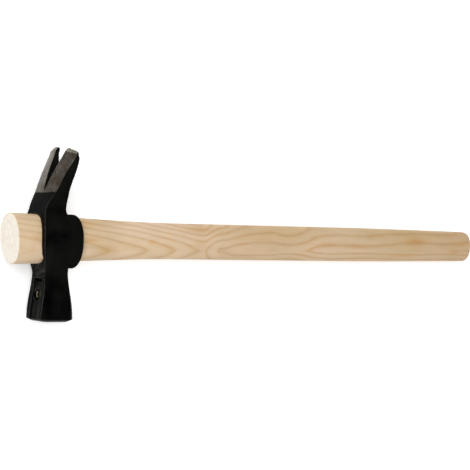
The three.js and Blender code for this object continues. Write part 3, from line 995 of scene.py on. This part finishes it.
# The steel is mixed towards a lit copy, which paints light and highlights on it: painted light on the far
# claw, more towards the tips, and on the tips' upper faces; painted highlights on the tips' bevels, the
# claws' outer edges and the outer faces turned away near the tips. The claws' half width grows along Y.
LIT_CLAW_Z = (0.6, -0.6)
LEAST_CLAW_LIGHT = 0.6
CLAW_LIGHT_Y = (34, 52)
EDGE_HALF_WIDTH = 12.1
EDGE_HALF_WIDTH_Y = 31.3
EDGE_SPREAD = 0.134
EDGE_DEPTH = (0.9, 0.3)
EDGE_HIGHLIGHT = 0.3
EDGE_GAIN = 1.6
EDGE_GAIN_Y = (46, 58)
BEVEL_HIGHLIGHT = 0.8
TURNED_AWAY = (0.8, 0.5)


def tip_bevel_share(points):
    """1 on the bevels of the tips, 0 elsewhere."""
    on_tips = points[:, 1] > CLAW_TOP - TIP_LENGTH
    return smoothstep(*TIP_BEVEL_EDGE, past_tip_bevel(points)) * on_tips


def edge_highlight(y, z):
    """The painted highlight on the claws' outer edges, stronger towards the tips."""
    half_width = EDGE_HALF_WIDTH + EDGE_SPREAD * (y - EDGE_HALF_WIDTH_Y)
    gain = 1 + EDGE_GAIN * smoothstep(*EDGE_GAIN_Y, y)
    return EDGE_HIGHLIGHT * smoothstep(*EDGE_DEPTH, half_width - np.abs(z)) * gain


def mark_steel(piece, points, normals, wander):
    """Where the steel is bare, and where it gets painted light and highlights."""
    _, y, z = places_of(points)
    facing = normals @ GROUND_LOOK
    outer = smoothstep(*OUTER_CLAW_Y, y)
    least, full = GROUND_FACING
    ground = smoothstep(least - OUTER_CLAW_FACING * outer, full - OUTER_CLAW_FACING * outer, facing)
    above_line = y - (GROUND_FROM + GROUND_SLOPE * z + GROUND_WANDER * wander)
    ground *= smoothstep(-GROUND_EDGE, GROUND_EDGE, above_line)
    tips = smoothstep(*TIP_LOOK, normals[:, 1]) * smoothstep(*TIP_FROM_Y, y)
    set_attribute(piece, "bare_steel", np.clip(ground + tips + smoothstep(*BARE_RIM_Y, y), 0, 1))
    claw_light = LEAST_CLAW_LIGHT + (1 - LEAST_CLAW_LIGHT) * smoothstep(*CLAW_LIGHT_Y, y)
    bright = claw_light * smoothstep(*LIT_CLAW_Z, z) + edge_highlight(y, z) + tips
    bright += BEVEL_HIGHLIGHT * tip_bevel_share(points) + outer * smoothstep(*TURNED_AWAY, facing)
    set_attribute(piece, "steel_light", np.clip(bright, 0, 1))


# The forging's skin wanders in and out a little. Its noise has a scale, layers and a shift.
SKIN_WANDER = 0.05
SKIN_WANDER_NOISE = (0.16, 2, 11.3)


def make_head():
    """The head: re-meshed, smoothed, blended, with its tips shaped, and marked for its material."""
    piece = remeshed(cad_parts["head"], "forged_head", HEAD_VOXEL)
    points = points_of(piece)
    edges = edges_of(piece)
    inward = relaxed(points, edges, EDGE_ROUNDS) - points
    points = blended(smoothed(points, edges, EDGE_ROUNDS), edges)
    points = shape_tips(piece, points, edges)
    wander = layered_noise(points, *SKIN_WANDER_NOISE)
    set_points(piece, points)
    points = points + SKIN_WANDER * wander[:, None] * normals_of(piece)
    set_points(piece, points)
    normals = normals_of(piece)
    mark_worn_edges(piece, normals, inward)
    mark_paint(piece, points, normals)
    mark_steel(piece, points, normals, wander)
    return piece


# The magnet and its sleeve, turned about the magnet's axis, which runs along X.

MAGNET_Y = (box_mm("magnet")[0][1] + box_mm("magnet")[1][1]) / 2
TURNED_SIDES = 96
CORNER_STEPS = 4
BACK_EDGE = 0.2

# A turned profile starts and ends this far from the axis.
PIN_RADIUS = 0.02

# The magnet's face is a dome of so many rings, up to a margin inside its rounded edge.
MAGNET_DOME = 0.12
MAGNET_FACE_RINGS = 8
MAGNET_FACE_MARGIN = 0.35
MAGNET_EDGE = 0.3

# The sleeve's lip has a painted highlight on its lower side, where Z is below 0.
SLEEVE_WALL = 0.6
SLEEVE_FLOOR = 1.0
LIP_STEPS = 8
LIP_HIGHLIGHT_Z = (-1.9, -2.7)


def rounded_corner(x, radius, edge, inward):
    """A quarter arc of a profile that rounds its corner at (x, radius), from its face to its side."""
    angles = [math.pi / 2 * i / CORNER_STEPS for i in range(CORNER_STEPS + 1)]
    return [(x + inward * edge * (1 - math.cos(a)), radius - edge * (1 - math.sin(a))) for a in angles]


def back_corner(x, radius):
    """The rounded corner at the back of a turned piece, from its side to its back."""
    return rounded_corner(x, radius, BACK_EDGE, -1)[::-1]


def turned(name, profile):
    """A closed ring of (x, radius) points, turned about the magnet's axis."""
    angle = np.linspace(0, 2 * math.pi, TURNED_SIDES, endpoint=False)
    circle = np.stack([np.zeros_like(angle), np.cos(angle), np.sin(angle)], axis=1)
    rings = [np.array((x, MAGNET_Y, AXIS_Z)) + radius * circle for x, radius in profile]
    faces = []
    for ring in range(len(rings)):
        following = (ring + 1) % len(rings)
        faces += quads_between(ring * TURNED_SIDES, following * TURNED_SIDES, TURNED_SIDES)
    return mesh_object(name, np.concatenate(rings), faces)


def make_magnet():
    """A plated disc, slightly domed, with rounded edges."""
    (front, low, _), (back, high, _) = box_mm("magnet")
    radius = (high - low) / 2
    radii = np.linspace(PIN_RADIUS, radius - MAGNET_FACE_MARGIN, MAGNET_FACE_RINGS)
    face = [(front + MAGNET_DOME * (r / radius) ** 2, r) for r in radii]
    front_corner = rounded_corner(front + MAGNET_DOME, radius, MAGNET_EDGE, 1)
    return turned("magnet_disc", face + front_corner + back_corner(back, radius) + [(back, PIN_RADIUS)])


def make_sleeve():
    """A thin turned cup with a rounded lip."""
    (front, low, _), (back, high, _) = box_mm("magnet_sleeve")
    radius = (high - low) / 2
    half_wall = SLEEVE_WALL / 2
    floor = back - SLEEVE_FLOOR
    angles = [math.pi * i / LIP_STEPS for i in range(LIP_STEPS + 1)]
    lip = [(front + half_wall * (1 - math.sin(a)), radius - half_wall * (1 + math.cos(a))) for a in angles]
    inside = [(floor, PIN_RADIUS), (floor, radius - SLEEVE_WALL)]
    cup = turned("brass_cup", inside + lip + back_corner(back, radius) + [(back, PIN_RADIUS)])
    set_attribute(cup, "painted_highlight", smoothstep(*LIP_HIGHLIGHT_Z, places_of(points_of(cup))[2]))
    return cup


def finish_piece(piece, node_name, material):
    """Give a piece its material and put it in place of its node."""
    piece.data.materials.clear()
    piece.data.materials.append(material)
    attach(piece, "root")
    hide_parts(node_name)


# The floor and the studio's light.

WHITE = (1, 1, 1, 1)

# A plane touches a claw, the lower cheek and the butt: its height at the frame's origin and its slopes.
# The floor lies a gap below it.
FLOOR_HEIGHT = -0.125
FLOOR_SLOPE_X = 0.01388
FLOOR_SLOPE_Y = -0.02402
FLOOR_GAP = 0.12
FLOOR_REACH = 6000
FLOOR_COLOUR = (0.86, 0.86, 0.86)
FLOOR_GLOW = 0.45

# The light from all sides, and the brightness of the walls that shiny things mirror, at two heights.
WORLD_LIGHT = 0.35
MIRRORED_WALLS = [(0.06, 1.0), (0.34, 0.14)]


def light_node(tree, kind, colour, strength):
    """A node that sends out light: an emission or a background."""
    return node(tree, kind, {"Color": colour, "Strength": strength}).outputs[0]


def mix_shaders(tree, share, first, second):
    """Two shaders mixed, by the share of the second one."""
    return node(tree, "ShaderNodeMixShader", {0: share, 1: first, 2: second}).outputs[0]


def mirrored_rays(tree, path):
    """1 for the rays that come off or through shiny things, 0 for the others."""
    return math_node(tree, "MAXIMUM", path.outputs["Is Glossy Ray"], path.outputs["Is Transmission Ray"])


def floor_material():
    """A pale floor that glows where it is seen or mirrored, and not in the light that it gives back."""
    material, tree, shader = new_material("pale_floor")
    feed(tree, shader.inputs["Base Color"], FLOOR_COLOUR)
    feed(tree, shader.inputs["Roughness"], 1.0)
    feed(tree, shader.inputs["Specular IOR Level"], 0.0)
    glow = light_node(tree, "ShaderNodeEmission", WHITE, FLOOR_GLOW)
    glowing = node(tree, "ShaderNodeAddShader", {0: shader.outputs[0], 1: glow}).outputs[0]
    path = node(tree, "ShaderNodeLightPath")
    seen = math_node(tree, "MAXIMUM", path.outputs["Is Camera Ray"], mirrored_rays(tree, path))
    surface = mix_shaders(tree, seen, shader.outputs[0], glowing)
    feed(tree, tree.nodes["Material Output"].inputs["Surface"], surface)
    return material


def make_floor():
    """One large tilted square."""
    reach = FLOOR_REACH
    height = FLOOR_HEIGHT - FLOOR_GAP
    corners = [(-reach, -reach), (reach, -reach), (reach, reach), (-reach, reach)]
    points = [(x, y, height + FLOOR_SLOPE_X * x + FLOOR_SLOPE_Y * y) for x, y in corners]
    floor = mesh_object("floor", points, [(0, 1, 2, 3)], smooth=False)
    floor.data.materials.append(floor_material())


def make_world():
    """A studio that is white where it is seen, and mirrored as white walls with a dark top."""
    world = bpy.data.worlds.new("studio")
    world.use_nodes = True
    bpy.context.scene.world = world
    tree = world.node_tree
    light = tree.nodes["Background"]
    feed(tree, light.inputs["Color"], WHITE)
    feed(tree, light.inputs["Strength"], WORLD_LIGHT)
    direction = node(tree, "ShaderNodeTexCoord").outputs["Generated"]
    height = node(tree, "ShaderNodeSeparateXYZ", {"Vector": direction}).outputs["Z"]
    walls = ramp(tree, height, MIRRORED_WALLS)
    mirrored = light_node(tree, "ShaderNodeBackground", walls, 1.0)
    seen = light_node(tree, "ShaderNodeBackground", WHITE, 1.0)
    path = node(tree, "ShaderNodeLightPath")
    unseen = mix_shaders(tree, mirrored_rays(tree, path), light.outputs[0], mirrored)
    surface = mix_shaders(tree, path.outputs["Is Camera Ray"], unseen, seen)
    feed(tree, tree.nodes["World Output"].inputs["Surface"], surface)


# The lamps: place, the point that each looks at and its two sides, in metres, then its watts, and whether
# shiny surfaces mirror it.
LAMPS_M = {
    "key": ((-0.9, 0.42, 1.1), (0.1, 0, 0), (1.0, 1.0), 16.8, False),
    "fill": ((0.1, -1.3, 0.9), (0.15, 0, 0), (1.2, 1.0), 6.0, False),
    "side": ((2.0, -1.5, 1.9), (0, 0, 0), (1.8, 1.4), 14.0, True),
    "rim": ((0.6, 1.5, 0.25), (0.25, 0, 0), (1.4, 0.4), 5.0, False),
}


def area_light(name, place, target, size, watts, mirrored):
    """A rectangular lamp that looks at a point."""
    data = bpy.data.lights.new(name, "AREA")
    data.shape = "RECTANGLE"
    data.size, data.size_y = size
    data.energy = watts
    lamp = bpy.data.objects.new(name, data)
    bpy.context.scene.collection.objects.link(lamp)
    lamp.location = place
    direction = Vector(target) - Vector(place)
    lamp.rotation_euler = direction.to_track_quat("-Z", "Y").to_euler()
    lamp.visible_glossy = mirrored


# The camera that fits the photograph: turned about the handle's height axis, then pitched and rolled. Its
# shift is where it has the middle of the eye's front rim: to its right, below it and ahead of it.
CAMERA_YAW = math.radians(39.7)
CAMERA_PITCH = math.radians(2.0)
CAMERA_ROLL = math.radians(2.87)
CAMERA_SHIFT = Vector((-133.4, 2.5, 1456.0))
PHOTO_PIXELS = 470
FOCAL_PIXELS = 2200
SENSOR = 36
CAMERA_NEAR_M = 0.01
CAMERA_FAR_M = 50


def camera_axes():
    """The directions of the picture's right, its foot and its depth, seen in the frame."""
    turn = Matrix.Diagonal((1, -1, -1)) @ Matrix.Rotation(CAMERA_YAW, 3, "Y")
    return Matrix.Rotation(CAMERA_ROLL, 3, "Z") @ Matrix.Rotation(CAMERA_PITCH, 3, "X") @ turn


def make_camera():
    """The photograph's camera."""
    axes = camera_axes()
    place = Vector((EYE_FRONT, 0, AXIS_Z)) - axes.transposed() @ CAMERA_SHIFT
    camera = bpy.data.objects.new("camera", bpy.data.cameras.new("camera"))
    bpy.context.scene.collection.objects.link(camera)
    turned_axes = Matrix((axes[0], -axes[1], -axes[2])).transposed()
    camera.matrix_world = Matrix.Translation(place * MM) @ turned_axes.to_4x4()
    camera.data.sensor_width = SENSOR
    camera.data.lens = SENSOR * FOCAL_PIXELS / PHOTO_PIXELS
    camera.data.clip_start = CAMERA_NEAR_M
    camera.data.clip_end = CAMERA_FAR_M
    bpy.context.scene.camera = camera


# The scene.

handle = make_handle()
mark_wood(handle)
finish_piece(handle, "handle", ash_material())
finish_piece(make_head(), "head", paint_material())
finish_piece(make_magnet(), "magnet", magnet_material())
finish_piece(make_sleeve(), "magnet_sleeve", sleeve_material())
make_floor()
make_world()
for lamp_name, settings in LAMPS_M.items():
    area_light(lamp_name, *settings)
make_camera()
bpy.context.scene.view_settings.view_transform = "Standard"
